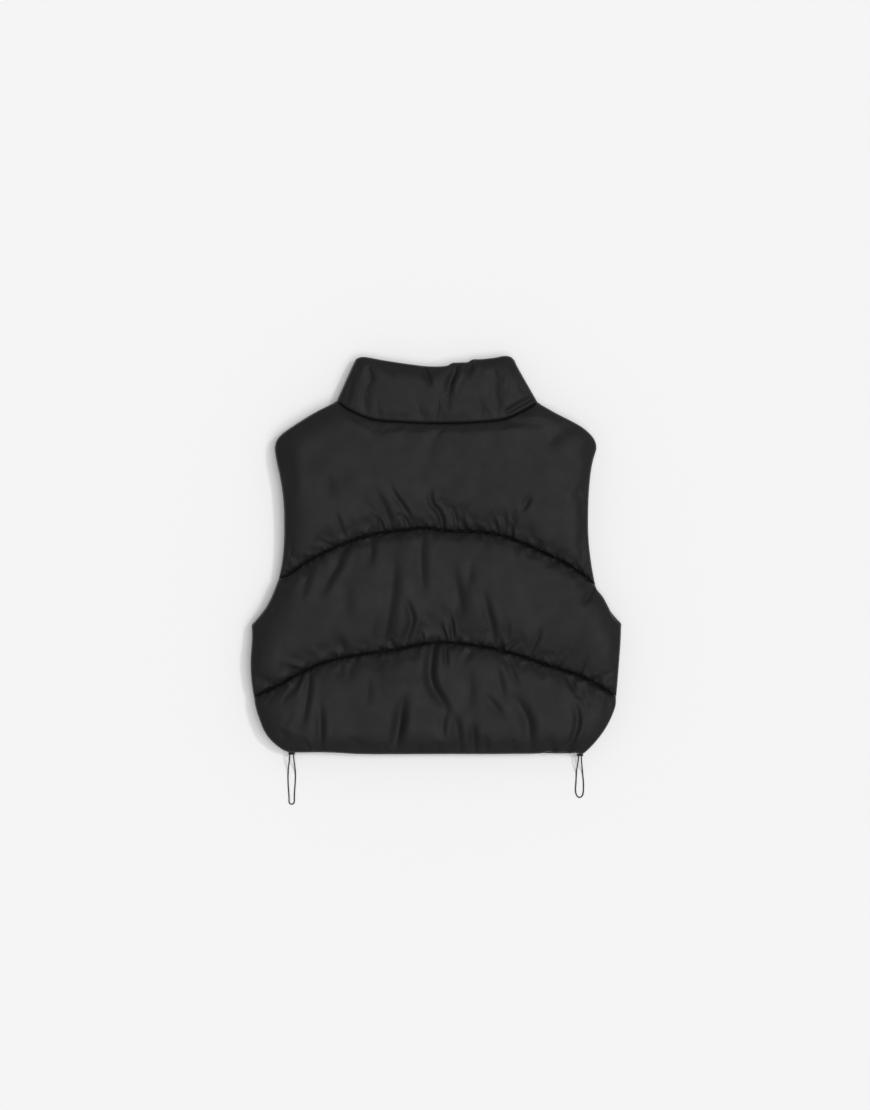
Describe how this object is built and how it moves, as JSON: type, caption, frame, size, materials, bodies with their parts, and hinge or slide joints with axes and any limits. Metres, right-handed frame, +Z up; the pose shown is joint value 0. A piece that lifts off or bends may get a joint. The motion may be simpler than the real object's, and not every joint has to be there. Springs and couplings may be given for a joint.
{
  "type": "puffer vest",
  "caption": "Cropped sleeveless padded vest with a stand collar, wide arched quilting, a front zip and elastic hem cord loops, laid flat with its back upwards.",
  "frame": {"origin": "on the surface the vest lies on, under the middle of the laid-out garment", "axes": "+X to the wearer's right with the back facing up, +Y from the hem to the collar, +Z up out of the back"},
  "size_m": [0.5183, 0.6298, 0.0468],
  "materials": {
    "shell": "matt black nylon",
    "zip_tape": "woven tape",
    "cord": "braided elastic",
    "zip_metal": "satin black"
  },
  "bodies": {
    "vest": {"back_upper": "shell", "back_middle": "shell", "back_lower": "shell", "front_left_upper": "shell", "front_left_middle": "shell", "front_left_lower": "shell", "front_right_upper": "shell", "front_right_middle": "shell", "front_right_lower": "shell", "collar": "shell", "cord_outlet_left": "shell", "cord_outlet_right": "shell", "zip_tape_left": "zip_tape", "zip_tape_right": "zip_tape", "cord_loop_left": "cord", "cord_loop_right": "cord", "zip_box": "zip_metal", "zip_slider": "zip_metal"},
    "pull": {"zip_pull": "zip_metal"}
  },
  "joints": [
    {"name": "pull_swing", "type": "hinge", "parent": "vest", "child": "pull", "pos_m": [0, 0.222, 0.0112], "axis": [1, 0, 0], "range_deg": [-20, 150]}
  ]
}
